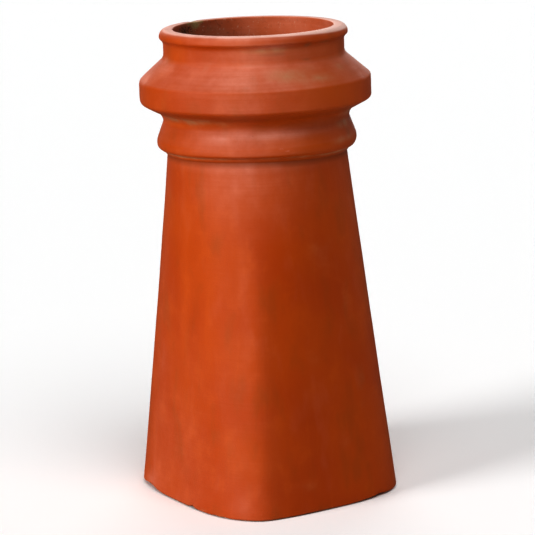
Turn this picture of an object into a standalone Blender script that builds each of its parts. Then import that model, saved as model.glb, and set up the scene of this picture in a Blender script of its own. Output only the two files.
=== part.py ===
"""Terracotta chimney pot: a squared foot that grows into a round, moulded head.

The pot is one hollow piece of fired clay, open at both ends. It stands on the XY plane
with +Z up and its origin at the middle of its foot. Its front face looks along -Y.

The wall is drawn as a closed outline of radius and height and spun into a solid of
revolution, and the shaft below the head is then squared off towards the foot.
"""

import math

import bmesh
import bpy
from mathutils import Vector

# Overall sizes, in metres
HEIGHT = 0.610
BASE_WIDTH = 0.288
BASE_DEPTH = 0.309
BORE_RADIUS = 0.103

# How square the foot is: 2 is an ellipse, and higher numbers have tighter corners
BASE_SQUARENESS = 3.5

# Walls
NECK_WALL = 0.014
BASE_WALL = 0.018
BAND_WALL = 0.024

# Clay between the hollow behind the band and the slopes above and below it, along the height
HOLLOW_COVER = 0.008

# How far each member of the head stands out from the neck
LIP_PROJECTION = 0.005
BAND_PROJECTION = 0.033
THROAT_PROJECTION = 0.004
WAIST_PROJECTION = 0.0038
BEAD_PROJECTION = 0.0126
FILLET_PROJECTION = 0.0042
FILLET_FOOT_PROJECTION = 0.0022

# Heights of the members of the head, from the rim down
LIP_HEIGHT = 0.0115
LIP_SOFFIT_DROP = 0.0078
NECK_HEIGHT = 0.0165
WEATHERING_DROP = 0.0289
BAND_HEIGHT = 0.0293
BAND_SOFFIT_DROP = 0.0152
WAIST_HEIGHT = 0.009
BEAD_SHOULDER_DROP = 0.0233
BEAD_HEIGHT = 0.0132
BEAD_SOFFIT_DROP = 0.0013
FILLET_HEIGHT = 0.0034
FILLET_SOFFIT_DROP = 0.0026

# Roundings of the edges and hollows
BORE_EDGE_ROUNDING = 0.0035
LIP_ROUNDING = 0.0095
LIP_UNDER_ROUNDING = 0.004
LIP_FOOT_ROUNDING = 0.004
NECK_ROUNDING = 0.015
BAND_UPPER_ROUNDING = 0.005
BAND_LOWER_ROUNDING = 0.0055
THROAT_ROUNDING = 0.014
BEAD_SHOULDER_ROUNDING = 0.018
BEAD_ROUNDING = 0.0104
FOOT_ROUNDING = 0.003
HOLLOW_ROUNDING = 0.025

# Fineness of the facets
SIDES = 64
ARC_STEP = math.radians(28)
SHAFT_STEPS = 5

# Share of a straight line that the roundings at its two ends may take up
ARC_ROOM = 0.95

# Edges that turn more than this stay crisp when the pot is shaded
CRISP_ANGLE = math.radians(35)

# Fired clay
CLAY_COLOUR = (0.52, 0.13, 0.045, 1.0)
CLAY_ROUGHNESS = 0.62

# Worked out from the sizes above
NECK_RADIUS = BORE_RADIUS + NECK_WALL
NECK_FOOT = HEIGHT - LIP_HEIGHT - LIP_SOFFIT_DROP - NECK_HEIGHT
BAND_TOP = NECK_FOOT - WEATHERING_DROP
BAND_FOOT = BAND_TOP - BAND_HEIGHT
THROAT = BAND_FOOT - BAND_SOFFIT_DROP
BEAD_SHOULDER = THROAT - WAIST_HEIGHT - BEAD_SHOULDER_DROP
BEAD_FOOT = BEAD_SHOULDER - BEAD_HEIGHT
FILLET_TOP = BEAD_FOOT - BEAD_SOFFIT_DROP
SHAFT_HEIGHT = FILLET_TOP - FILLET_HEIGHT - FILLET_SOFFIT_DROP


def clear_scene():
    """Remove whatever objects the file holds."""
    for old in list(bpy.data.objects):
        bpy.data.objects.remove(old)


def head_outside():
    """Corners (radius, height, rounding) of the head, from the bore's upper edge down."""
    return [
        (BORE_RADIUS, HEIGHT, BORE_EDGE_ROUNDING),
        (NECK_RADIUS + LIP_PROJECTION, HEIGHT, LIP_ROUNDING),
        (NECK_RADIUS + LIP_PROJECTION, HEIGHT - LIP_HEIGHT, LIP_UNDER_ROUNDING),
        (NECK_RADIUS, NECK_FOOT + NECK_HEIGHT, LIP_FOOT_ROUNDING),
        (NECK_RADIUS, NECK_FOOT, NECK_ROUNDING),
        (NECK_RADIUS + BAND_PROJECTION, BAND_TOP, BAND_UPPER_ROUNDING),
        (NECK_RADIUS + BAND_PROJECTION, BAND_FOOT, BAND_LOWER_ROUNDING),
        (NECK_RADIUS + THROAT_PROJECTION, THROAT, THROAT_ROUNDING),
        (NECK_RADIUS + WAIST_PROJECTION, THROAT - WAIST_HEIGHT, 0),
        (NECK_RADIUS + BEAD_PROJECTION, BEAD_SHOULDER, BEAD_SHOULDER_ROUNDING),
        (NECK_RADIUS + BEAD_PROJECTION, BEAD_FOOT, BEAD_ROUNDING),
        (NECK_RADIUS + FILLET_PROJECTION, FILLET_TOP, 0),
        (NECK_RADIUS + FILLET_FOOT_PROJECTION, FILLET_TOP - FILLET_HEIGHT, 0),
    ]


def head_inside():
    """Corners of the inside of the head, from the shaft up: a plain bore, hollowed behind the band."""
    hollow_radius = max(NECK_RADIUS + BAND_PROJECTION - BAND_WALL, BORE_RADIUS)
    return [
        (BORE_RADIUS, THROAT + HOLLOW_COVER, HOLLOW_ROUNDING),
        (hollow_radius, (BAND_TOP + BAND_FOOT) / 2, HOLLOW_ROUNDING),
        (BORE_RADIUS, NECK_FOOT - HOLLOW_COVER, HOLLOW_ROUNDING),
    ]


def cone_radius(height, wall_top, wall_foot):
    """Radius of the plain tapered shaft, as far inside its outer face as the two walls say."""
    top = NECK_RADIUS - wall_top
    foot = (BASE_WIDTH + BASE_DEPTH) / 4 - wall_foot
    return foot + (top - foot) * height / SHAFT_HEIGHT


def wall_corners():
    """Corners of the closed outline of the wall: down the outside and up the inside."""
    heights = [SHAFT_HEIGHT * step / SHAFT_STEPS for step in range(SHAFT_STEPS + 1)]
    roundings = [FOOT_ROUNDING] + [0] * SHAFT_STEPS
    outside = [(cone_radius(z, 0, 0), z, rounding) for z, rounding in zip(heights, roundings)]
    inside = [(cone_radius(z, NECK_WALL, BASE_WALL), z, rounding) for z, rounding in zip(heights, roundings)]
    return head_outside() + outside[::-1] + inside + head_inside()


def rounded(corners):
    """Points of a closed outline whose corners are (radius, height, rounding).

    A rounding is an arc that touches both of the corner's straight lines. Where the lines are
    too short for the arcs at their ends, the arcs share the room.
    """
    spots = [Vector((radius, 0, height)) for radius, height, rounding in corners]
    count = len(spots)
    turns = []
    for index, spot in enumerate(spots):
        towards_last = spots[index - 1] - spot
        towards_next = spots[(index + 1) % count] - spot
        turns.append(math.pi - towards_last.angle(towards_next))
    wanted = [corner[2] * math.tan(turn / 2) for corner, turn in zip(corners, turns)]
    room = []
    for index, spot in enumerate(spots):
        after = (index + 1) % count
        taken = wanted[index] + wanted[after]
        length = (spots[after] - spot).length * ARC_ROOM
        room.append(length / taken if taken > length else 1)

    points = []
    for index, spot in enumerate(spots):
        reach = wanted[index] * min(room[index - 1], room[index])
        if reach == 0:
            points.append(spot)
            continue
        towards_last = (spots[index - 1] - spot).normalized()
        towards_next = (spots[(index + 1) % count] - spot).normalized()
        radius = reach / math.tan(turns[index] / 2)
        centre = spot + (towards_last + towards_next).normalized() * math.hypot(radius, reach)
        start = spot + towards_last * reach - centre
        end = spot + towards_next * reach - centre
        steps = math.ceil(turns[index] / ARC_STEP)
        points += [centre + start.slerp(end, step / steps) * radius for step in range(steps + 1)]
    return points


def square_radius(angle, half_width, half_depth):
    """Distance from the middle to the edge of the squared foot, in the direction of an angle."""
    across = abs(math.cos(angle)) / half_width
    along = abs(math.sin(angle)) / half_depth
    return (across ** BASE_SQUARENESS + along ** BASE_SQUARENESS) ** (-1 / BASE_SQUARENESS)


def square_off(spot):
    """Move a point of the round, tapered shaft to its place on the shaft with a squared foot."""
    inner = cone_radius(spot.z, NECK_WALL, BASE_WALL)
    outer = cone_radius(spot.z, 0, 0)
    share = (math.hypot(spot.x, spot.y) - inner) / (outer - inner)
    angle = math.atan2(spot.y, spot.x)
    rise = spot.z / SHAFT_HEIGHT
    foot_outer = square_radius(angle, BASE_WIDTH / 2, BASE_DEPTH / 2)
    foot_inner = square_radius(angle, BASE_WIDTH / 2 - BASE_WALL, BASE_DEPTH / 2 - BASE_WALL)
    new_outer = foot_outer + (NECK_RADIUS - foot_outer) * rise
    new_inner = foot_inner + (BORE_RADIUS - foot_inner) * rise
    radius = new_inner + (new_outer - new_inner) * share
    return Vector((radius * math.cos(angle), radius * math.sin(angle), spot.z))


def clay_material():
    """Fired terracotta."""
    material = bpy.data.materials.new("terracotta")
    material.use_nodes = True
    shader = material.node_tree.nodes["Principled BSDF"]
    shader.inputs["Base Color"].default_value = CLAY_COLOUR
    shader.inputs["Roughness"].default_value = CLAY_ROUGHNESS
    shader.inputs["Metallic"].default_value = 0
    return material


def chimney_pot():
    """Spin the wall's outline, square off the shaft and finish the pot."""
    shape = bmesh.new()
    spots = [shape.verts.new(point) for point in rounded(wall_corners())]
    outline = [shape.edges.new((spots[index - 1], spot)) for index, spot in enumerate(spots)]
    bmesh.ops.spin(
        shape, geom=spots + outline, cent=(0, 0, 0), axis=(0, 0, 1),
        angle=math.tau, steps=SIDES, use_merge=True,
    )
    for vert in shape.verts:
        if vert.co.z < SHAFT_HEIGHT:
            vert.co = square_off(vert.co)
    bmesh.ops.recalc_face_normals(shape, faces=shape.faces)

    mesh = bpy.data.meshes.new("chimney_pot")
    shape.to_mesh(mesh)
    shape.free()
    mesh.shade_smooth()
    mesh.set_sharp_from_angle(angle=CRISP_ANGLE)
    mesh.materials.append(clay_material())
    pot = bpy.data.objects.new("chimney_pot", mesh)
    bpy.context.scene.collection.objects.link(pot)
    return pot


clear_scene()
chimney_pot()
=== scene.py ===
"""Terracotta chimney pot: the finished surface of the pot, its stage and its camera.

The pot is turned from the outline of its wall, squared off towards the foot and then
given the marks of hand and weather: uneven mouldings, chips, scuffs, dirt and moss.
"""

import math
from typing import NamedTuple

import bmesh
import bpy
from bpy.props import FloatProperty, FloatVectorProperty, IntProperty, PointerProperty
from mathutils import Matrix, Quaternion, Vector, noise


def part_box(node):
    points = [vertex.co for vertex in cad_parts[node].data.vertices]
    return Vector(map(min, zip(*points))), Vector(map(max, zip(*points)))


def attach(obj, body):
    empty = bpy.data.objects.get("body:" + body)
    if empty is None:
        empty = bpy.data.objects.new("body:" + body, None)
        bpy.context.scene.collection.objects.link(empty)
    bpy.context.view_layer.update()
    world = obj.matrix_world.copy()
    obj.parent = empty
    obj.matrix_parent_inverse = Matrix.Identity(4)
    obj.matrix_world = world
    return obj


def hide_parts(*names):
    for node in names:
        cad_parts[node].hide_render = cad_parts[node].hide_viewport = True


bl_info = {
    "name": "Terracotta Chimney Pot",
    "version": (1, 0, 0),
    "blender": (4, 5, 0),
    "location": "View3D > Sidebar > Chimney Pot",
    "description": "Makes a weathered clay chimney pot and a pale studio round it",
    "category": "Add Mesh",
}

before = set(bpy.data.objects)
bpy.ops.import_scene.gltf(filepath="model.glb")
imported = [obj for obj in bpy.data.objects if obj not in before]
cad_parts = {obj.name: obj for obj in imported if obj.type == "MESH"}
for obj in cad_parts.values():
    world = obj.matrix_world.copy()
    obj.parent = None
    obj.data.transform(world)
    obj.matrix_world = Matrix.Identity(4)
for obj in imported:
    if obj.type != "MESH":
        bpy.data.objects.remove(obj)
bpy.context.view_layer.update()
POT_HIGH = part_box("chimney_pot")[1]

# The flue in the neck and the clay round it, in metres
BORE_RADIUS = 0.103
NECK_WALL = 0.014

# Members of the head: how far each stands out from the neck, and its height, in metres
LIP_PROJECTION = 0.005
BAND_PROJECTION = POT_HIGH[0] - BORE_RADIUS - NECK_WALL
THROAT_PROJECTION = 0.004
WAIST_PROJECTION = 0.0038
BEAD_PROJECTION = 0.0126
FILLET_PROJECTION = 0.0042
FILLET_FOOT_PROJECTION = 0.0022
LIP_HEIGHT = 0.0115
LIP_SOFFIT_DROP = 0.0045
NECK_HEIGHT = 0.0198
WEATHERING_DROP = 0.0289
BAND_HEIGHT = 0.0293
BAND_SOFFIT_DROP = 0.0152
WAIST_HEIGHT = 0.009
BEAD_SHOULDER_DROP = 0.0233
BEAD_HEIGHT = 0.0132
BEAD_SOFFIT_DROP = 0.0013
FILLET_HEIGHT = 0.0034
FILLET_SOFFIT_DROP = 0.0026

# Roundings of the edges and hollows of the head
BORE_EDGE_ROUNDING = 0.002
LIP_ROUNDING = 0.0095
LIP_UNDER_ROUNDING = 0.004
LIP_FOOT_ROUNDING = 0.007
NECK_ROUNDING = 0.010
BAND_UPPER_ROUNDING = 0.005
BAND_LOWER_ROUNDING = 0.0055
THROAT_ROUNDING = 0.014
BEAD_SHOULDER_ROUNDING = 0.018
BEAD_ROUNDING = 0.0104
FILLET_ROUNDING = 0.001
FOOT_ROUNDING = 0.003
HOLLOW_ROUNDING = 0.025

# Clay left above and below the hollow behind the band
HOLLOW_COVER = 0.008

# Share of a straight line that the rounding at one of its ends may take up
ARC_ROOM = 0.95

# Segments of each rounding, and the longest edge left on each stretch of the outline
ROUNDING_SEGMENTS = 7
HEAD_DETAIL = 0.002
SHAFT_DETAIL = 0.007
FOOT_DETAIL = 0.002
FOOT_DETAIL_HEIGHT = 0.02
BORE_DETAIL = 0.003
INSIDE_DETAIL = 0.03

# How far inside the neck's outer face a point counts as in the bore
BORE_SIDE = 0.0125

# Unevenness of the hand-made surface: how deep, and how many per metre
HAND_DEPTH = 0.0009
HAND_SCALE = 11
RING_DEPTH = 0.00022
RING_SCALE = 210
GRAIN_DEPTH = 0.00012
GRAIN_SCALE = 260

# Depth of the rings on the shaft as a share of those on the head, and share lost at the rim
SHAFT_RINGS = 0.3
RIM_SMOOTHING = 0.8
RIM_SMOOTHING_HEIGHT = 0.008

# How much the depth of a chip varies, and how many times per metre
CHIP_RAGGEDNESS = 0.6
CHIP_GRAIN = 300

# Stretches of bearings, in degrees: the middle of each and its spread
JOINT_NEAR_SIDE = (0, 50)
JOINT_CLEAN_SIDE = (0, 35)
NEAR_CORNER = (-3, 7)
SHEEN_SIDE = (-7, 33)
FAR_SIDE = (170, 60)
WEATHERING_SIDE = (5, 60)
FOOT_SIDE = (-58, 42)
SHAFT_TOP_SIDE = (-10, 42)
RIM_BACK = (140, 40)
CREST_SIDE = (55, 60)
CREST_WIDE_SIDE = (78, 45)

# How the joint under the bead rises on the near side and tilts down to the right
JOINT_RISE = 0.0031
JOINT_DROP = 0.0005
JOINT_TILT = 0.0009

# The wall bends with the joint from so far below the shaft's head, wholly from so far below
# it, no longer wholly so far above the fillet, and not at all so far above the bead's foot
JOINT_BEND_START = 0.03
JOINT_BEND_WHOLE = 0.004
JOINT_BEND_FADE = 0.001
JOINT_BEND_END = 0.006

# How far the near corner of the shaft stands out, and the heights over which that fades
CORNER_SWELL = 0.003
CORNER_FADE_FROM = 0.20
CORNER_FADE_TO = 0.40

# Wear of the band's two edges on the left, and how far it spreads up and down from them
ARRIS_WEAR = 0.0007
UPPER_ARRIS_SPREAD = 0.004
LOWER_ARRIS_SPREAD = 0.0045

# How far inside the band's face the wear of its edges starts and is complete
BAND_SKIN_START = 0.012
BAND_SKIN_END = 0.003

# Stretches where the foot is worn away, with the depth, and the heights over which that fades
FOOT_WEAR = (((-88, 11), 0.0042), ((58, 9), 0.0018))
FOOT_WEAR_FROM = 0.004
FOOT_WEAR_TO = 0.03

# How far inside the neck's outer face the outer skin of the wall starts and is complete
SKIN_START = 0.012
SKIN_END = 0.006
CORNER_SKIN_END = 0.004

# Share of dirt on the whole of the bore, and of dust missing from the joint's clean side
BORE_DIRT = 0.1
JOINT_CLEANNESS = 0.5

# Strength of the pale bleaching and of the painted sheen, light and highlights on each part of the pot,
# and of the painted sheen along the shaft's corners
SIDE_SHEEN = 0.16
UPWARD_BLOOM_AND_LIGHT = 0.18
INSIDE_BLOOM = 0.24
FOOT_SHEEN = 0.07
SHAFT_TOP_LIGHT = 0.28
RIM_HIGHLIGHT = 0.8
RIM_BACK_LOSS = 0.5
CORNER_SHEEN = (((-8, 10), 0.055), ((-80, 10), 0.04), ((98, 12), 0.03))

# How far the painted sheen spreads up from the foot and the painted light down from the joint,
# and how far under the head the bleaching and painted sheen start
FOOT_SHEEN_SPREAD = 0.13
SHAFT_TOP_SPREAD = 0.0055
HEAD_BLOOM_AND_SHEEN_START = 0.12

# How far under the rim the painted highlights on its top start, and where they are whole
RIM_TOP_START = 0.007
RIM_HIGHLIGHT_WHOLE = 0.002
CREST_WHOLE = 0.003

# Colours of the painted highlight on the rim's top, of the painted shade and of the small marks
CREST_HIGHLIGHT_COLOUR = (0.85, 0.62, 0.55)
SHADE_COLOUR = (0.17, 0.035, 0.003)
DARK_COLOUR = (0.05, 0.02, 0.01)
LIME_COLOUR = (0.55, 0.38, 0.28)
SOOT_COLOUR = (0.09, 0.03, 0.015)
SPECK_COLOUR = (0.3, 0.08, 0.03)

# Sheen of the clay, how much rougher its dusty parts are, and its finest relief
SPECULAR_LEVEL = 0.13
DUSTY_ROUGHNESS = 0.25
BUMP_STRENGTH = 0.35
BUMP_DEPTH = 0.0005

# The picture in pixels, and the camera that took it: its sensor in millimetres, its place in
# metres and its turns in radians
PICTURE_SIDE = 535
FOCAL_PIXELS = 2499.5
SENSOR_WIDTH = 36.0
CAMERA_AZIMUTH = math.radians(-32.38)
CAMERA_DISTANCE = 3.2025
CAMERA_HEIGHT = 0.9856
CAMERA_TURN = 0.00244
CAMERA_PITCH = 0.21332
CAMERA_ROLL = 0.03481

# Finish of the picture, and the floor and the place of the lamps, in metres
PICTURE_GAMMA = 0.714
PICTURE_EXPOSURE = 0.16
FLOOR_SIZE = 20
FLOOR_GAP = 0.0002
FLOOR_ROUGHNESS = 0.9
LAMP_DISTANCE = 3


class Lamp(NamedTuple):
    """A soft lamp: its direction and spread in degrees, and the setting that holds its strength."""
    name: str
    azimuth: float
    elevation: float
    spread: float
    setting: str


LAMPS = (
    Lamp("key light", -60, 16, 25, "key_strength"),
    Lamp("ceiling light", 15, 57, 50, "top_strength"),
    Lamp("rim light", 120, 8, 40, "rim_strength"),
    Lamp("back light", 178, 17, 50, "back_strength"),
)


class Mark(NamedTuple):
    """A patch of wear, dirt or clay tone, or of painted highlight, sheen or light: its place, its spread
    round and up the pot, and its strength.

    It lies on the outside of the pot, or else in the bore.
    """
    kind: str
    bearing: float
    height: float
    reach: float
    rise: float
    strength: float = 1
    in_bore: bool = False


class Crease(NamedTuple):
    """A crease that holds dirt, dust or shade: a level of the pot, how far above it, spread and share."""
    level: str
    above: float
    spread: float
    share: float


class Chip(NamedTuple):
    """A flake off the clay: where it is, how far it spreads round and up the pot, how deep it is."""
    bearing: float
    height: float
    reach: float
    rise: float
    depth: float


# Bearings are degrees round the pot from the side that the camera sees, right of it positive
MARKS = (
    # Rim and bore
    Mark("moss", -133, 0.606, 0.009, 0.006, 1.0, True),
    Mark("moss", -134, 0.6095, 0.007, 0.003, 0.7),
    Mark("dust", -140, 0.598, 0.05, 0.02, 0.5, True),
    Mark("orange", 172, 0.595, 0.09, 0.04, 1.0, True),
    Mark("worn", 12, 0.5960, 0.030, 0.004, 0.28),
    Mark("moss", -139, 0.609, 0.004, 0.003, 0.8, True),
    Mark("moss", -126, 0.6085, 0.007, 0.003, 0.7, True),
    Mark("dark", -120, 0.600, 0.045, 0.012, 0.42, True),
    Mark("dark", -150, 0.607, 0.018, 0.004, 0.35, True),
    Mark("dirt", -125, 0.596, 0.05, 0.018, 1.0, True),
    Mark("dirt", -155, 0.590, 0.05, 0.020, 0.2, True),
    Mark("dirt", -140, 0.609, 0.04, 0.004, 0.8),
    Mark("crust", -150, 0.598, 0.10, 0.022, 1.0, True),
    Mark("crust", 165, 0.603, 0.10, 0.012, 0.6, True),
    Mark("dirt", 35, 0.5956, 0.009, 0.004, 0.9),
    Mark("dirt", 48, 0.5965, 0.030, 0.003, 0.5),
    # Neck
    Mark("dust", 12, 0.5915, 0.045, 0.005, 0.55),
    Mark("dirt", 14, 0.5865, 0.030, 0.004, 0.5),
    # Painted light: the worn marks at 22 and 42 and the orange mark at 38 lighten the lit right of the
    # neck
    Mark("worn", 22, 0.5840, 0.070, 0.012, 0.12),
    Mark("dirt", 34, 0.577, 0.014, 0.003, 0.5),
    Mark("orange", -58, 0.5836, 0.02, 0.012, 0.8),
    Mark("worn", -73, 0.5735, 0.010, 0.004, 0.2),
    Mark("orange", 38, 0.5840, 0.060, 0.014, 0.9),
    Mark("worn", 42, 0.5830, 0.050, 0.010, 0.06),
    # Weathering
    Mark("dust", 22, 0.5605, 0.042, 0.011, 0.60),
    Mark("dust", 38, 0.5560, 0.026, 0.008, 0.65),
    Mark("dust", 58, 0.5630, 0.014, 0.006, 0.40),
    Mark("worn", -64, 0.5660, 0.016, 0.006, 0.12),
    # Painted light: brighter clay on the lit right of the weathering
    Mark("orange", 38, 0.5450, 0.065, 0.035, 0.9),
    Mark("worn", 70, 0.5580, 0.012, 0.004, 0.20),
    # Arris of the band
    Mark("worn", -77, 0.5500, 0.013, 0.006, 0.28),
    Mark("worn", 72, 0.5500, 0.013, 0.005, 0.25),
    Mark("orange", 76, 0.5465, 0.004, 0.003, 0.9),
    # Bead
    # Painted highlight: the worn marks along the bead's round; painted light: the orange mark on its lit
    # right
    Mark("worn", -24, 0.4825, 0.020, 0.0055, 0.26),
    Mark("orange", 32, 0.4760, 0.060, 0.020, 1.0),
    Mark("worn", 10, 0.4865, 0.055, 0.0055, 0.36),
    Mark("worn", 34, 0.4850, 0.030, 0.004, 0.12),
    Mark("dark", -2.3, 0.4867, 0.0022, 0.0014, 0.6),
    Mark("dark", -58.6, 0.4699, 0.003, 0.0015, 0.4),
    Mark("pale", 13.5, 0.4694, 0.005, 0.0016, 0.4),
    Mark("pale", 17.1, 0.4664, 0.005, 0.0018, 0.4),
    Mark("pale", 20, 0.4628, 0.004, 0.0016, 0.4),
    Mark("dirt", 68, 0.476, 0.016, 0.008, 0.5),
    Mark("dust", 66, 0.4880, 0.024, 0.008, 0.5),
    Mark("dust", 60, 0.4690, 0.040, 0.006, 0.5),
    Mark("dust", -70, 0.4990, 0.020, 0.010, 0.3),
    Mark("dust", -40, 0.5030, 0.065, 0.007, 0.6),
    Mark("dust", 72, 0.5030, 0.030, 0.008, 0.6),
    Mark("dirt", -45, 0.5025, 0.055, 0.006, 0.5),
    Mark("orange", -58, 0.4955, 0.03, 0.0025, 0.8),
    # Shaft
    Mark("orange", -51, 0.29, 0.012, 0.13, 0.45),
    Mark("dirt", -72, 0.40, 0.009, 0.045, 0.35),
    Mark("dirt", -66, 0.33, 0.010, 0.080, 0.35),
    Mark("orange", -30, 0.24, 0.020, 0.060, 0.4),
    Mark("dirt", 57, 0.15, 0.014, 0.060, 0.4),
    Mark("dirt", 30, 0.30, 0.020, 0.050, 0.25),
    Mark("dust", 43, 0.085, 0.020, 0.022, 0.22),
    Mark("dust", 17, 0.035, 0.032, 0.013, 0.22),
    Mark("dust", -20, 0.33, 0.030, 0.040, 0.12),
    # Painted sheen: the faint worn patches on the lit left of the shaft
    Mark("worn", -22, 0.425, 0.04, 0.030, 0.04),
    Mark("worn", -50, 0.160, 0.07, 0.140, 0.035),
    Mark("dust", 38, 0.335, 0.030, 0.045, 0.24),
    Mark("dust", 50, 0.250, 0.024, 0.060, 0.20),
    Mark("dust", 28, 0.190, 0.020, 0.040, 0.20),
    # Sides that the picture does not show
    Mark("dust", -160, 0.562, 0.040, 0.008, 0.40),
    Mark("dirt", 150, 0.558, 0.045, 0.008, 0.45),
    Mark("moss", 165, 0.5535, 0.022, 0.004, 0.45),
    Mark("dust", 97, 0.484, 0.030, 0.006, 0.40),
    Mark("worn", 178, 0.5500, 0.020, 0.005, 0.25),
    Mark("dirt", 122, 0.320, 0.012, 0.100, 0.30),
    Mark("orange", 150, 0.200, 0.022, 0.090, 0.50),
    Mark("dust", -140, 0.060, 0.030, 0.020, 0.22),
    Mark("dirt", -118, 0.380, 0.010, 0.060, 0.30),
    # Foot
    Mark("worn", -84, 0.014, 0.016, 0.010, 0.2),
    Mark("worn", -12, 0.020, 0.012, 0.012, 0.08),
    Mark("dark", -43, 0.002, 0.005, 0.002, 0.7),
    Mark("dust", -33, 0.004, 0.012, 0.003, 0.6),
    Mark("dust", -22, 0.002, 0.010, 0.0025, 0.6),
    Mark("pale", -4.1, 0.0085, 0.0022, 0.0022, 0.7),
)

CHIPS = (
    Chip(-43.5, 0.0, 0.005, 0.0028, 0.0028),
    Chip(-26, 0.0, 0.004, 0.002, 0.0008),
    Chip(-21, 0.0, 0.004, 0.002, 0.0008),
    Chip(-86, 0.006, 0.012, 0.006, 0.0015),
    Chip(60, 0.002, 0.010, 0.004, 0.0012),
    Chip(-2.3, 0.4867, 0.002, 0.0014, 0.0008),
    Chip(-77, 0.5475, 0.010, 0.004, 0.0009),
    Chip(71, 0.5485, 0.009, 0.004, 0.0008),
    Chip(-134.7, 0.61, 0.006, 0.004, 0.0012),
    Chip(100, 0.455, 0.009, 0.004, 0.0012),
    Chip(168, 0.5455, 0.014, 0.004, 0.0013),
    Chip(-150, 0.002, 0.010, 0.004, 0.0025),
    Chip(131, 0.001, 0.008, 0.004, 0.0022),
)

DIRTY_CREASES = (
    Crease("neck_head", 0.001, 0.005, 0.08),
    Crease("neck_foot", 0, 0.004, 0.3),
    Crease("throat", -0.004, 0.008, 0.25),
    Crease("shaft_head", 0.001, 0.0015, 0.2),
    Crease("foot", 0, 0.0032, 0.8),
)
SHADED_CREASES = (
    Crease("throat", 0.008, 0.004, 0.2),
    Crease("shaft_head", 0.0008, 0.0012, 0.6),
)
DUSTY_CREASES = (
    Crease("fillet_head", 0.0005, 0.0026, 0.75),
)

# Levels that follow the rise and fall of the joint under the bead
JOINT_LEVELS = ("fillet_head", "shaft_head")

MARK_KINDS = ("pale", "worn", "dirt", "dust", "shade", "crest", "crust", "orange", "dark", "moss")


class PotShape(bpy.types.PropertyGroup):
    """Main sizes of the pot."""

    height: FloatProperty(
        name="Height", description="From the foot to the rim", default=POT_HIGH[2], unit="LENGTH",
    )
    bore_radius: FloatProperty(
        name="Bore radius", description="Of the round flue in the neck",
        default=BORE_RADIUS, unit="LENGTH",
    )
    neck_wall: FloatProperty(
        name="Neck wall", description="Thickness of the clay at the neck",
        default=NECK_WALL, unit="LENGTH",
    )
    base_wall: FloatProperty(
        name="Foot wall", description="Thickness of the clay at the foot",
        default=0.018, unit="LENGTH",
    )
    band_wall: FloatProperty(
        name="Band wall", description="Thickness of the clay behind the band",
        default=0.024, unit="LENGTH",
    )
    base_width: FloatProperty(
        name="Foot width", description="Across the squared foot, along X", default=0.288, unit="LENGTH",
    )
    base_depth: FloatProperty(
        name="Foot depth", description="Across the squared foot, along Y", default=0.309, unit="LENGTH",
    )
    squareness: FloatProperty(
        name="Squareness", description="2 makes the foot an ellipse, and more makes it squarer",
        default=3.5, min=2, max=12,
    )
    turn_steps: IntProperty(
        name="Steps round", description="Facets round the pot", default=300, min=24,
    )


class ClayFinish(bpy.types.PropertyGroup):
    """Colours and surface of the fired clay."""

    clay: FloatVectorProperty(
        name="Clay", description="Main colour of the fired clay",
        subtype="COLOR", default=(0.40, 0.070, 0.0015), min=0, max=1,
    )
    clay_deep: FloatVectorProperty(
        name="Deep clay", description="Darker, redder parts of the clay",
        subtype="COLOR", default=(0.375, 0.060, 0.0015), min=0, max=1,
    )
    clay_orange: FloatVectorProperty(
        name="Orange clay", description="Brighter, more orange parts of the clay",
        subtype="COLOR", default=(0.47, 0.094, 0.003), min=0, max=1,
    )
    clay_brown: FloatVectorProperty(
        name="Brown clay", description="Duller, browner smears in the clay",
        subtype="COLOR", default=(0.31, 0.066, 0.004), min=0, max=1,
    )
    # Laid as pale bleaching, and also as painted sheen and painted highlights
    bloom: FloatVectorProperty(
        name="Bloom", description="Pale film on the faces that look up, and scuffed clay",
        subtype="COLOR", default=(0.73, 0.40, 0.33), min=0, max=1,
    )
    dirt: FloatVectorProperty(
        name="Dirt", description="Grime in the creases",
        subtype="COLOR", default=(0.19, 0.10, 0.05), min=0, max=1,
    )
    dust: FloatVectorProperty(
        name="Dust", description="Tan dust on the slopes of the head",
        subtype="COLOR", default=(0.42, 0.24, 0.13), min=0, max=1,
    )
    moss: FloatVectorProperty(
        name="Moss", description="Growth on the rim",
        subtype="COLOR", default=(0.34, 0.29, 0.13), min=0, max=1,
    )
    roughness: FloatProperty(
        name="Roughness", description="Of the bare clay", default=0.42, min=0, max=1, subtype="FACTOR",
    )


class StudioLight(bpy.types.PropertyGroup):
    """Floor and lamps."""

    floor: FloatVectorProperty(
        name="Floor", description="Colour of the floor",
        subtype="COLOR", default=(0.93, 0.93, 0.93), min=0, max=1,
    )
    key_strength: FloatProperty(
        name="Key light", description="Strength of the soft light from the left",
        default=2.8, min=0,
    )
    top_strength: FloatProperty(
        name="Ceiling light", description="Strength of the soft light from above",
        default=1.66, min=0,
    )
    back_strength: FloatProperty(
        name="Back light", description="Strength of the low light behind the pot",
        default=1.0, min=0,
    )
    rim_strength: FloatProperty(
        name="Rim light", description="Strength of the light from behind on the right",
        default=0.15, min=0,
    )
    room_strength: FloatProperty(
        name="Room light", description="Light that the room sheds on the pot",
        default=0.16, min=0,
    )
    wall_strength: FloatProperty(
        name="Room walls", description="Brightness of the room where the camera sees it",
        default=0.95, min=0,
    )


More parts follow.
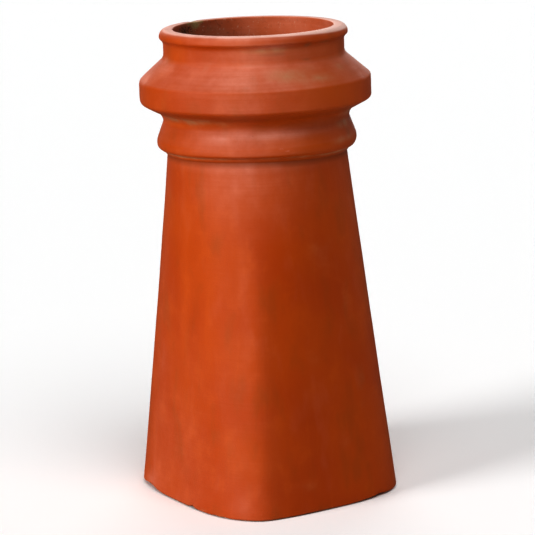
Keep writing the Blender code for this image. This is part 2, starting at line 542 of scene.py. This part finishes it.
def head_levels(shape):
    """Radius of the neck and the heights of the foot, the rim and the head's members."""
    levels = {"neck_radius": shape.bore_radius + shape.neck_wall, "foot": 0, "rim": shape.height}
    drops = [
        ("lip_foot", LIP_HEIGHT),
        ("neck_head", LIP_SOFFIT_DROP),
        ("neck_foot", NECK_HEIGHT),
        ("band_head", WEATHERING_DROP),
        ("band_foot", BAND_HEIGHT),
        ("throat", BAND_SOFFIT_DROP),
        ("waist", WAIST_HEIGHT),
        ("bead_shoulder", BEAD_SHOULDER_DROP),
        ("bead_foot", BEAD_HEIGHT),
        ("fillet_head", BEAD_SOFFIT_DROP),
        ("fillet_foot", FILLET_HEIGHT),
        ("shaft_head", FILLET_SOFFIT_DROP),
    ]
    height = shape.height
    for name, drop in drops:
        height -= drop
        levels[name] = height
    return levels


def head_corners(shape, at):
    """Corners (radius, height, rounding) of the outside of the head, from the bore's edge down."""
    neck = at["neck_radius"]
    return [
        (shape.bore_radius, at["rim"], BORE_EDGE_ROUNDING),
        (neck + LIP_PROJECTION, at["rim"], LIP_ROUNDING),
        (neck + LIP_PROJECTION, at["lip_foot"], LIP_UNDER_ROUNDING),
        (neck, at["neck_head"], LIP_FOOT_ROUNDING),
        (neck, at["neck_foot"], NECK_ROUNDING),
        (neck + BAND_PROJECTION, at["band_head"], BAND_UPPER_ROUNDING),
        (neck + BAND_PROJECTION, at["band_foot"], BAND_LOWER_ROUNDING),
        (neck + THROAT_PROJECTION, at["throat"], THROAT_ROUNDING),
        (neck + WAIST_PROJECTION, at["waist"], 0),
        (neck + BEAD_PROJECTION, at["bead_shoulder"], BEAD_SHOULDER_ROUNDING),
        (neck + BEAD_PROJECTION, at["bead_foot"], BEAD_ROUNDING),
        (neck + FILLET_PROJECTION, at["fillet_head"], 0),
        (neck + FILLET_FOOT_PROJECTION, at["fillet_foot"], FILLET_ROUNDING),
        (neck, at["shaft_head"], 0),
    ]


def inside_corners(shape, at):
    """Corners of the outline from the foot's outer edge, across the foot and up the inside."""
    foot = (shape.base_width + shape.base_depth) / 4
    hollow_radius = max(at["neck_radius"] + BAND_PROJECTION - shape.band_wall, shape.bore_radius)
    return [
        (foot, 0, FOOT_ROUNDING),
        (foot - shape.base_wall, 0, FOOT_ROUNDING),
        (shape.bore_radius, at["shaft_head"], 0),
        (shape.bore_radius, at["throat"] + HOLLOW_COVER, HOLLOW_ROUNDING),
        (hollow_radius, (at["band_head"] + at["band_foot"]) / 2, HOLLOW_ROUNDING),
        (shape.bore_radius, at["neck_foot"] - HOLLOW_COVER, HOLLOW_ROUNDING),
    ]


def round_corner(mesh, vert, rounding):
    """Round one corner of a wire outline by a bevel that touches both of its lines."""
    lines = [edge.other_vert(vert).co - vert.co for edge in vert.link_edges]
    turn = math.pi - lines[0].angle(lines[1])
    reach = min(rounding * math.tan(turn / 2), *(line.length * ARC_ROOM for line in lines))
    bmesh.ops.bevel(
        mesh, geom=[vert], offset=reach, offset_type="OFFSET", segments=ROUNDING_SEGMENTS,
        profile=0.5, affect="VERTICES", material=-1,
    )


def edge_detail(edge, shape, at):
    """Longest edge wanted on the stretch of the outline that an edge lies on."""
    middle = (edge.verts[0].co + edge.verts[1].co) / 2
    rise = middle.z / at["shaft_head"]
    foot = (shape.base_width + shape.base_depth) / 4
    wall_middle = foot + (at["neck_radius"] - foot) * rise - shape.base_wall / 2
    if middle.z > at["shaft_head"]:
        if middle.x > at["neck_radius"] - shape.neck_wall / 2:
            return HEAD_DETAIL
        return BORE_DETAIL if middle.z > at["neck_foot"] - HOLLOW_COVER else INSIDE_DETAIL
    if middle.x < wall_middle:
        return INSIDE_DETAIL
    return FOOT_DETAIL if middle.z < FOOT_DETAIL_HEIGHT else SHAFT_DETAIL


def refine_outline(mesh, shape, at):
    """Divide the outline's edges until none is longer than its stretch allows."""
    for edge in list(mesh.edges):
        cuts = math.ceil(edge.calc_length() / edge_detail(edge, shape, at)) - 1
        if cuts > 0:
            bmesh.ops.subdivide_edges(mesh, edges=[edge], cuts=cuts)


def square_radius(angle, half_width, half_depth, squareness):
    """Distance from the middle to the edge of the squared foot, in the direction of an angle."""
    across = abs(math.cos(angle)) / half_width
    along = abs(math.sin(angle)) / half_depth
    return (across ** squareness + along ** squareness) ** (-1 / squareness)


def square_off(spot, shape, at):
    """Move a point of the round, tapered shaft to its place on the shaft with a squared foot."""
    rise = spot.z / at["shaft_head"]
    foot = (shape.base_width + shape.base_depth) / 4
    outer = foot + (at["neck_radius"] - foot) * rise
    inner = foot - shape.base_wall + (shape.bore_radius - foot + shape.base_wall) * rise
    share = (math.hypot(spot.x, spot.y) - inner) / (outer - inner)
    angle = math.atan2(spot.y, spot.x)
    half_width, half_depth = shape.base_width / 2, shape.base_depth / 2
    foot_outer = square_radius(angle, half_width, half_depth, shape.squareness)
    foot_inner = square_radius(
        angle, half_width - shape.base_wall, half_depth - shape.base_wall, shape.squareness,
    )
    new_outer = foot_outer + (at["neck_radius"] - foot_outer) * rise
    new_inner = foot_inner + (shape.bore_radius - foot_inner) * rise
    radius = new_inner + (new_outer - new_inner) * share
    return Vector((radius * math.cos(angle), radius * math.sin(angle), spot.z))


def bell(offset, spread):
    """1 at no offset, falling smoothly to nothing over about two spreads."""
    return math.exp(-(offset / spread) ** 2)


def around(bearing, stretch):
    """1 in the middle of a stretch of bearings, falling smoothly to nothing on both sides."""
    middle, spread = stretch
    return bell(bearing - middle, spread)


def smooth_step(value, low, high):
    """0 below low, 1 above high and a smooth rise between them."""
    share = min(max((value - low) / (high - low), 0), 1)
    return share * share * (3 - 2 * share)


def bearing_of(spot):
    """Bearing of a point in degrees: 0 faces the camera, and right of it is positive."""
    angle = math.degrees(math.atan2(spot.x, -spot.y) - CAMERA_AZIMUTH)
    return (angle + 180) % 360 - 180


def patch_share(patch, spot, bearing):
    """How much of a mark or chip reaches a point: 1 in its middle, 0 well away from it."""
    turn = math.radians((bearing - patch.bearing + 180) % 360 - 180)
    across = turn * math.hypot(spot.x, spot.y) / patch.reach
    up = (spot.z - patch.height) / patch.rise
    away = across * across + up * up
    return math.exp(-away) if away < 9 else 0


def joint_lift(bearing):
    """How far the joint under the bead runs above its true height, round the pot."""
    rise = JOINT_RISE * around(bearing, JOINT_NEAR_SIDE)
    return rise - JOINT_DROP - JOINT_TILT * math.sin(math.radians(bearing))


def warp_wall(spot, at):
    """Bend the true outline the way the hand-made pot departs from it."""
    bearing = bearing_of(spot)
    radius = math.hypot(spot.x, spot.y)
    # The joint under the bead runs up and down round the pot
    shaft_head = at["shaft_head"]
    near = smooth_step(spot.z, shaft_head - JOINT_BEND_START, shaft_head - JOINT_BEND_WHOLE)
    fade_from, fade_to = at["fillet_head"] + JOINT_BEND_FADE, at["bead_foot"] + JOINT_BEND_END
    near *= 1 - smooth_step(spot.z, fade_from, fade_to)
    up = joint_lift(bearing) * near
    # The near corner of the shaft is sharper than the others
    wall = smooth_step(radius, at["neck_radius"] - SKIN_START, at["neck_radius"] - CORNER_SKIN_END)
    on_shaft = 1 - smooth_step(spot.z, CORNER_FADE_FROM, CORNER_FADE_TO)
    corner = CORNER_SWELL * around(bearing, NEAR_CORNER) * on_shaft * wall
    # The band's two edges are rounder on the left
    left = smooth_step(-bearing, -30, 60) * smooth_step(bearing, -179, -120)
    band_radius = at["neck_radius"] + BAND_PROJECTION
    on_band = smooth_step(radius, band_radius - BAND_SKIN_START, band_radius - BAND_SKIN_END)
    upper = bell(spot.z - at["band_head"], UPPER_ARRIS_SPREAD) * on_band
    lower = bell(spot.z - at["band_foot"], LOWER_ARRIS_SPREAD) * on_band
    inward = ARRIS_WEAR * left * (upper + lower)
    # The foot is worn away under the left corner and a little on the right
    worn = sum(depth * around(bearing, stretch) for stretch, depth in FOOT_WEAR)
    up += worn * (1 - smooth_step(spot.z, FOOT_WEAR_FROM, FOOT_WEAR_TO))
    scale = (radius + corner - inward) / radius
    return Vector((spot.x * scale, spot.y * scale, spot.z + up))


def hand_depth(spot, at):
    """How far the surface sinks at a point through uneven hand work, turning rings and grain."""
    on_head = smooth_step(spot.z, at["shaft_head"] - JOINT_BEND_START, at["shaft_head"])
    rings = on_head * (1 - SHAFT_RINGS) + SHAFT_RINGS
    turned = Vector((spot.x * HAND_SCALE, spot.y * HAND_SCALE, spot.z * RING_SCALE))
    depth = HAND_DEPTH * (0.5 + 0.5 * noise.noise(spot * HAND_SCALE))
    depth += RING_DEPTH * rings * (0.5 + 0.5 * noise.noise(turned))
    depth += GRAIN_DEPTH * (0.5 + 0.5 * noise.noise(spot * GRAIN_SCALE))
    near_rim = smooth_step(spot.z, at["rim"] - RIM_SMOOTHING_HEIGHT, at["rim"])
    return depth * (1 - RIM_SMOOTHING * near_rim)


def weather(mesh, at):
    """Sink the surface by the hand-made unevenness and the chips, and never below the floor."""
    mesh.normal_update()
    moves = []
    for vert in mesh.verts:
        bearing = bearing_of(vert.co)
        depth = hand_depth(vert.co, at)
        raggedness = 1 + CHIP_RAGGEDNESS * noise.noise(vert.co * CHIP_GRAIN)
        for chip in CHIPS:
            depth += chip.depth * patch_share(chip, vert.co, bearing) * raggedness
        moves.append(vert.normal * depth)
    for vert, move in zip(mesh.verts, moves):
        vert.co -= move
        vert.co.z = max(vert.co.z, 0)


def creases_share(creases, spot, at, bearing):
    """How much of their dirt, dust or shade a list of creases leaves at a point."""
    total = 0
    for crease in creases:
        height = at[crease.level] + crease.above
        if crease.level in JOINT_LEVELS:
            height += joint_lift(bearing)
        total += crease.share * bell(spot.z - height, crease.spread)
    return min(total, 1)


def rim_highlight(vert, at, bearing):
    """Painted highlight on the flat top of the rim, weaker at the back."""
    top = smooth_step(vert.co.z, at["rim"] - RIM_TOP_START, at["rim"] - RIM_HIGHLIGHT_WHOLE)
    top *= smooth_step(vert.normal.z, 0.7, 1)
    return RIM_HIGHLIGHT * top * (1 - RIM_BACK_LOSS * around(bearing, RIM_BACK))


def shaft_top_light(spot, at, bearing):
    """Painted light on the shaft just under the joint, on the near side, lifting the shade there."""
    edge = at["shaft_head"] + joint_lift(bearing) - 0.002
    share = SHAFT_TOP_LIGHT * bell(spot.z - edge, SHAFT_TOP_SPREAD)
    share *= around(bearing, SHAFT_TOP_SIDE)
    return share * (1 - smooth_step(spot.z, edge + 0.002, edge + 0.0035))


def bloom_and_sheen_share(vert, at, bearing):
    """Pale bleaching with painted sheen and light: strongest on what faces up and on the near side of the
    head.
    """
    radius = math.hypot(vert.co.x, vert.co.y)
    outside = smooth_step(radius, at["neck_radius"] - SKIN_START, at["neck_radius"] - SKIN_END)
    head = smooth_step(vert.co.z, at["shaft_head"] - HEAD_BLOOM_AND_SHEEN_START, at["shaft_head"] + 0.01)
    open_to_sky = smooth_step(vert.normal.z, -0.6, 0.05)
    # Painted sheen on the near side of the head, where the key light's sheen falls, and some on the far
    # side
    side = 0.03 + 0.97 * around(bearing, SHEEN_SIDE) + 0.5 * around(abs(bearing), FAR_SIDE)
    # Pale bleaching and painted light on what faces up
    facing_up = smooth_step(vert.normal.z, 0.15, 0.75)
    facing_up *= smooth_step(vert.co.z, at["shaft_head"], at["fillet_head"])
    facing_up *= 0.75 + 0.25 * around(bearing, WEATHERING_SIDE)
    from_sky = head * open_to_sky * (SIDE_SHEEN * side + UPWARD_BLOOM_AND_LIGHT * facing_up)
    # Painted sheen on the lit left of the foot and along the shaft's corners
    foot = FOOT_SHEEN * bell(vert.co.z, FOOT_SHEEN_SPREAD) * around(bearing, FOOT_SIDE)
    corners = sum(share * around(bearing, stretch) for stretch, share in CORNER_SHEEN)
    outer = outside * (from_sky + foot + corners + shaft_top_light(vert.co, at, bearing))
    inner = INSIDE_BLOOM * (1 - outside)
    return min(outer + inner + rim_highlight(vert, at, bearing), 1)


def crest_highlight_share(vert, at, bearing):
    """Painted highlight, with some pale bleaching, on the flat top of the rim, widest and most of it on
    the right.
    """
    right = around(bearing, CREST_WIDE_SIDE)
    crest = smooth_step(vert.co.z, at["rim"] - RIM_TOP_START, at["rim"] - CREST_WHOLE)
    crest *= smooth_step(vert.normal.z, 0.8 - 0.45 * right, 1 - 0.35 * right)
    return crest * (0.3 + 0.45 * around(bearing, CREST_SIDE))


def mark_shares(vert, at, bearing):
    """Share of each kind of mark at a point of the surface."""
    radius = math.hypot(vert.co.x, vert.co.y)
    in_bore = radius < at["neck_radius"] - BORE_SIDE
    shares = dict.fromkeys(MARK_KINDS, 0)
    shares["shade"] = creases_share(SHADED_CREASES, vert.co, at, bearing)
    shares["crest"] = crest_highlight_share(vert, at, bearing)
    shares["dirt"] = BORE_DIRT
    if radius >= at["neck_radius"] - SKIN_END:
        shares["dirt"] = creases_share(DIRTY_CREASES, vert.co, at, bearing)
    if not in_bore:
        shares["dust"] = creases_share(DUSTY_CREASES, vert.co, at, bearing)
        shares["dust"] *= 1 - JOINT_CLEANNESS * around(bearing, JOINT_CLEAN_SIDE)
    for mark in MARKS:
        if mark.in_bore == in_bore:
            share = mark.strength * patch_share(mark, vert.co, bearing)
            shares[mark.kind] = max(shares[mark.kind], share)
    return shares


def paint_marks(mesh, at):
    """Store the bleaching with its painted sheen, light and highlights, and the marks, on the points of
    the surface, for the clay's material.
    """
    mesh.normal_update()
    layers = {kind: mesh.verts.layers.float.new(kind) for kind in MARK_KINDS}
    bloom = mesh.verts.layers.float.new("bloom")
    for vert in mesh.verts:
        bearing = bearing_of(vert.co)
        shares = mark_shares(vert, at, bearing)
        for kind, share in shares.items():
            vert[layers[kind]] = share
        # Worn marks join the bleaching; some of them are painted highlights, painted sheen and painted
        # light
        vert[bloom] = bloom_and_sheen_share(vert, at, bearing) + shares["worn"]


def link_piece(name, mesh, material):
    """Put a finished bmesh into the scene as an object with one material."""
    data = bpy.data.meshes.new(name)
    mesh.to_mesh(data)
    mesh.free()
    data.materials.append(material)
    piece = bpy.data.objects.new(name, data)
    bpy.context.scene.collection.objects.link(piece)
    return piece


def new_material(name):
    """A new material, its Principled shader and its node tree."""
    material = bpy.data.materials.new(name)
    material.use_nodes = True
    tree = material.node_tree
    return material, tree.nodes["Principled BSDF"], tree


def plug(tree, value, socket):
    """Give a socket a constant, or link another node's output to it."""
    if isinstance(value, bpy.types.NodeSocket):
        tree.links.new(value, socket)
    elif isinstance(value, (int, float)):
        socket.default_value = value
    else:
        socket.default_value = (*value, 1)


def stretched(tree, coords, scale):
    """Coordinates multiplied by a scale for each axis."""
    node = tree.nodes.new("ShaderNodeVectorMath")
    node.operation = "MULTIPLY"
    tree.links.new(coords, node.inputs[0])
    node.inputs[1].default_value = scale
    return node.outputs["Vector"]


def cloud(tree, coords, scale, detail=3, roughness=0.55):
    """Smooth noise from 0 to 1, with so many lumps to the metre."""
    node = tree.nodes.new("ShaderNodeTexNoise")
    tree.links.new(coords, node.inputs["Vector"])
    node.inputs["Scale"].default_value = scale
    node.inputs["Detail"].default_value = detail
    node.inputs["Roughness"].default_value = roughness
    return node.outputs["Fac"]


def between(tree, value, low, high, start=0, end=1):
    """Map a value that runs from low to high onto start to end, smoothly and without overshoot."""
    node = tree.nodes.new("ShaderNodeMapRange")
    node.interpolation_type = "SMOOTHSTEP"
    plug(tree, value, node.inputs["Value"])
    for name, number in (("From Min", low), ("From Max", high), ("To Min", start), ("To Max", end)):
        node.inputs[name].default_value = number
    return node.outputs["Result"]


def combine(tree, operation, first, second):
    """One step of arithmetic on two values."""
    node = tree.nodes.new("ShaderNodeMath")
    node.operation = operation
    plug(tree, first, node.inputs[0])
    plug(tree, second, node.inputs[1])
    return node.outputs[0]


def blend(tree, share, base, top):
    """Lay one colour over another, as strongly as the share says."""
    node = tree.nodes.new("ShaderNodeMix")
    node.data_type = "RGBA"
    sockets = {socket.identifier: socket for socket in [*node.inputs, *node.outputs]}
    plug(tree, share, sockets["Factor_Float"])
    plug(tree, base, sockets["A_Color"])
    plug(tree, top, sockets["B_Color"])
    return sockets["Result_Color"]


def stored(tree, name):
    """A value that was stored on the points of the surface."""
    node = tree.nodes.new("ShaderNodeAttribute")
    node.attribute_name = name
    return node.outputs["Fac"]


def ragged(tree, share, grain, low=0.35, high=0.75):
    """Break the soft edge of a stored share with grain."""
    rough = combine(tree, "MULTIPLY", share, between(tree, grain, 0.2, 0.8, 0.4, 1.6))
    return between(tree, rough, low, high)


def clay_patterns(tree):
    """Noise patterns that place the tones and marks of the clay, each with its lumps to the metre."""
    place = tree.nodes.new("ShaderNodeTexCoord").outputs["Object"]
    return {
        "broad": cloud(tree, place, 9),
        "patches": cloud(tree, place, 34, detail=4),
        "flecks": cloud(tree, place, 260, detail=1),
        "grain": cloud(tree, place, 420, detail=4, roughness=0.65),
        "speckle": cloud(tree, place, 900, detail=2),
        "streaks": cloud(tree, stretched(tree, place, (95, 95, 7)), 1),
        "smears": cloud(tree, stretched(tree, place, (38, 38, 15)), 1, roughness=0.5),
        "rings": cloud(tree, stretched(tree, place, (6, 6, 420)), 1),
    }


def bare_clay(tree, patterns, finish):
    """Colour of the clay itself, with mottling, streaks and smears."""
    # Colour of each tone, the pattern that places it, from where to where, and its strength
    tones = (
        (finish.clay_orange, "patches", 0.5, 0.75, 0.3),
        (finish.clay_deep, "streaks", 0.5, 0.8, 0.35),
        (finish.clay_brown, "smears", 0.52, 0.74, 0.45),
        (finish.bloom, "smears", 0.46, 0.22, 0.035),
        (finish.clay_orange, "streaks", 0.45, 0.2, 0.2),
    )
    mottle = between(tree, patterns["broad"], 0.35, 0.65)
    colour = blend(tree, mottle, finish.clay_deep, finish.clay)
    for tone, name, low, high, strength in tones:
        share = between(tree, patterns[name], low, high, end=strength)
        colour = blend(tree, share, colour, tone)
    # Orange marks: clay tone, and painted light on the lit right of the head
    orange = combine(tree, "MULTIPLY", stored(tree, "orange"), 0.7)
    return blend(tree, orange, colour, finish.clay_orange)


def bleaching_and_sheen(tree, patterns):
    """Share of the pale bleaching and of the painted sheen, light and highlights, broken up by patches and
    by the turning rings.
    """
    patchy = between(tree, patterns["patches"], 0.25, 0.75, start=0.6, end=1.1)
    ringed = between(tree, patterns["rings"], 0.3, 0.7, start=0.88, end=1.06)
    bloom = combine(tree, "MULTIPLY", stored(tree, "bloom"), patchy)
    return combine(tree, "MULTIPLY", bloom, ringed)


def ragged_mark(tree, colour, patterns, mark):
    """Lay a kind of mark over a colour, with its edge broken by a pattern."""
    kind, name, low, high, strength, tone = mark
    share = ragged(tree, stored(tree, kind), patterns[name], low, high)
    return blend(tree, combine(tree, "MULTIPLY", share, strength), colour, tone)


def crusted(tree, colour, patterns):
    """Flecks of lime and soot on the crusted parts, and dark specks all over."""
    crust = stored(tree, "crust")
    for tone, low, high, strength in ((LIME_COLOUR, 0.64, 0.72, 0.45), (SOOT_COLOUR, 0.40, 0.28, 0.25)):
        flecks = between(tree, patterns["flecks"], low, high, end=strength)
        colour = blend(tree, combine(tree, "MULTIPLY", flecks, crust), colour, tone)
    specks = between(tree, patterns["speckle"], 0.7, 0.78, end=0.35)
    return blend(tree, specks, colour, SPECK_COLOUR)


def clay_material(finish):
    """Fired terracotta with mottling, streaks, turning marks, bleaching with painted sheen and highlights,
    painted shade, dirt, scuffs and moss.
    """
    material, shader, tree = new_material("fired terracotta")
    patterns = clay_patterns(tree)
    bloom = bleaching_and_sheen(tree, patterns)
    # Kind of each mark, the pattern that breaks its edge, from where to where, strength and colour
    scuffs = ("pale", "grain", 0.15, 0.9, 0.55, finish.bloom)
    soiling = (
        ("dust", "patches", 0.1, 1.2, 1, finish.dust),
        ("dirt", "patches", 0.2, 1.1, 0.6, finish.dirt),
        ("dark", "grain", 0.3, 0.5, 0.85, DARK_COLOUR),
        ("moss", "speckle", 0.15, 0.8, 0.8, finish.moss),
    )
    # Pale bleaching with painted sheen, light and highlights, then the painted highlight on the rim's top
    colour = blend(tree, bloom, bare_clay(tree, patterns, finish), finish.bloom)
    colour = blend(tree, stored(tree, "crest"), colour, CREST_HIGHLIGHT_COLOUR)
    colour = ragged_mark(tree, colour, patterns, scuffs)
    colour = blend(tree, stored(tree, "shade"), colour, SHADE_COLOUR)
    for mark in soiling:
        colour = ragged_mark(tree, colour, patterns, mark)
    colour = crusted(tree, colour, patterns)
    tree.links.new(colour, shader.inputs["Base Color"])

    dusty = combine(tree, "ADD", patterns["grain"], bloom)
    rough = between(tree, dusty, 0.3, 1.3, start=finish.roughness, end=finish.roughness + DUSTY_ROUGHNESS)
    tree.links.new(rough, shader.inputs["Roughness"])
    shader.inputs["Specular IOR Level"].default_value = SPECULAR_LEVEL

    bump = tree.nodes.new("ShaderNodeBump")
    bump.inputs["Strength"].default_value = BUMP_STRENGTH
    bump.inputs["Distance"].default_value = BUMP_DEPTH
    ridges = combine(tree, "MULTIPLY", patterns["rings"], 0.5)
    tree.links.new(combine(tree, "ADD", patterns["grain"], ridges), bump.inputs["Height"])
    tree.links.new(bump.outputs["Normal"], shader.inputs["Normal"])
    return material


class MESH_OT_add_clay_pot(bpy.types.Operator):
    """Turn the clay pot, square off its shaft and give it its surface"""

    bl_idname = "mesh.add_clay_pot"
    bl_label = "Chimney Pot"
    bl_options = {"REGISTER", "UNDO"}

    def execute(self, context):
        shape = context.scene.pot_shape
        at = head_levels(shape)
        mesh = bmesh.new()
        corners = head_corners(shape, at) + inside_corners(shape, at)
        verts = [mesh.verts.new((radius, 0, height)) for radius, height, rounding in corners]
        for index, vert in enumerate(verts):
            mesh.edges.new((verts[index - 1], vert))
        for vert, (radius, height, rounding) in zip(verts, corners):
            if rounding:
                round_corner(mesh, vert, rounding)
        refine_outline(mesh, shape, at)
        bmesh.ops.spin(
            mesh, geom=mesh.verts[:] + mesh.edges[:], cent=(0, 0, 0), axis=(0, 0, 1),
            angle=math.tau, steps=shape.turn_steps, use_merge=True,
        )
        for vert in mesh.verts:
            if vert.co.z < at["shaft_head"]:
                vert.co = square_off(vert.co, shape, at)
            vert.co = warp_wall(vert.co, at)
        bmesh.ops.recalc_face_normals(mesh, faces=mesh.faces)
        weather(mesh, at)
        paint_marks(mesh, at)
        pot = link_piece("terracotta_pot", mesh, clay_material(context.scene.clay_finish))
        pot.data.shade_smooth()
        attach(pot, "root")
        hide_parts("chimney_pot")
        return {"FINISHED"}


def add_soft_light(lamp, strength):
    """Parallel light with soft shadows, from a lamp's direction as the camera sees it."""
    light = bpy.data.lights.new(lamp.name, "SUN")
    light.angle = math.radians(lamp.spread)
    light.energy = strength
    source = bpy.data.objects.new(lamp.name, light)
    azimuth = CAMERA_AZIMUTH + math.radians(lamp.azimuth)
    elevation = math.radians(lamp.elevation)
    flat = math.cos(elevation)
    direction = Vector((math.sin(azimuth) * flat, -math.cos(azimuth) * flat, math.sin(elevation)))
    source.location = direction * LAMP_DISTANCE
    source.rotation_euler = direction.to_track_quat("Z", "Y").to_euler()
    bpy.context.scene.collection.objects.link(source)


def add_room(studio):
    """White room that the camera sees as bright walls, and that lights the pot more faintly."""
    world = bpy.data.worlds.new("studio room")
    world.use_nodes = True
    tree = world.node_tree
    seen = tree.nodes.new("ShaderNodeLightPath").outputs["Is Camera Ray"]
    strength = between(tree, seen, 0, 1, start=studio.room_strength, end=studio.wall_strength)
    tree.links.new(strength, tree.nodes["Background"].inputs["Strength"])
    tree.nodes["Background"].inputs["Color"].default_value = (1, 1, 1, 1)
    bpy.context.scene.world = world


def add_floor(studio):
    """Plain pale floor, just under the foot and not mirrored in the clay."""
    mesh = bmesh.new()
    bmesh.ops.create_grid(mesh, x_segments=1, y_segments=1, size=FLOOR_SIZE)
    bmesh.ops.translate(mesh, vec=(0, 0, -FLOOR_GAP), verts=mesh.verts)
    material, shader = new_material("pale floor")[:2]
    shader.inputs["Base Color"].default_value = (*studio.floor, 1)
    shader.inputs["Roughness"].default_value = FLOOR_ROUGHNESS
    floor = link_piece("floor", mesh, material)
    floor.visible_glossy = False


def add_camera():
    """The camera, where the picture was taken from."""
    data = bpy.data.cameras.new("picture camera")
    data.sensor_width = SENSOR_WIDTH
    data.lens = FOCAL_PIXELS * SENSOR_WIDTH / PICTURE_SIDE
    camera = bpy.data.objects.new("picture camera", data)
    flat = Vector((math.sin(CAMERA_AZIMUTH), -math.cos(CAMERA_AZIMUTH), 0))
    camera.location = flat * CAMERA_DISTANCE + Vector((0, 0, CAMERA_HEIGHT))
    ahead = Matrix.Rotation(-CAMERA_TURN, 3, "Z") @ -flat
    forward = ahead * math.cos(CAMERA_PITCH) - Vector((0, 0, math.sin(CAMERA_PITCH)))
    camera.rotation_mode = "QUATERNION"
    level = forward.to_track_quat("-Z", "Y")
    camera.rotation_quaternion = level @ Quaternion((0, 0, 1), -CAMERA_ROLL)
    bpy.context.scene.collection.objects.link(camera)
    bpy.context.scene.camera = camera


class SCENE_OT_add_pot_stage(bpy.types.Operator):
    """Lay the floor, set the lamps and the room light, and place the camera"""

    bl_idname = "scene.add_pot_stage"
    bl_label = "Stage"
    bl_options = {"REGISTER", "UNDO"}

    def execute(self, context):
        studio = context.scene.studio_light
        add_floor(studio)
        for lamp in LAMPS:
            add_soft_light(lamp, getattr(studio, lamp.setting))
        add_room(studio)
        context.scene.view_settings.view_transform = "Standard"
        context.scene.view_settings.gamma = PICTURE_GAMMA
        context.scene.view_settings.exposure = PICTURE_EXPOSURE
        add_camera()
        return {"FINISHED"}


class VIEW3D_PT_chimney_pot(bpy.types.Panel):
    """Sizes, finish and light of the pot"""

    bl_label = "Chimney Pot"
    bl_space_type = "VIEW_3D"
    bl_region_type = "UI"
    bl_category = "Chimney Pot"

    def draw(self, context):
        groups = [
            (context.scene.pot_shape, MESH_OT_add_clay_pot.bl_idname),
            (context.scene.clay_finish, None),
            (context.scene.studio_light, SCENE_OT_add_pot_stage.bl_idname),
        ]
        for group, operator in groups:
            box = self.layout.box()
            for name in type(group).__annotations__:
                box.prop(group, name)
            if operator:
                box.operator(operator)


CLASSES = (
    PotShape, ClayFinish, StudioLight, MESH_OT_add_clay_pot, SCENE_OT_add_pot_stage, VIEW3D_PT_chimney_pot,
)


def register():
    for cls in CLASSES:
        bpy.utils.register_class(cls)
    bpy.types.Scene.pot_shape = PointerProperty(type=PotShape)
    bpy.types.Scene.clay_finish = PointerProperty(type=ClayFinish)
    bpy.types.Scene.studio_light = PointerProperty(type=StudioLight)


def unregister():
    del bpy.types.Scene.studio_light
    del bpy.types.Scene.clay_finish
    del bpy.types.Scene.pot_shape
    for cls in reversed(CLASSES):
        bpy.utils.unregister_class(cls)


def main():
    register()
    bpy.ops.mesh.add_clay_pot()
    bpy.ops.scene.add_pot_stage()


if __name__ == "__main__":
    main()
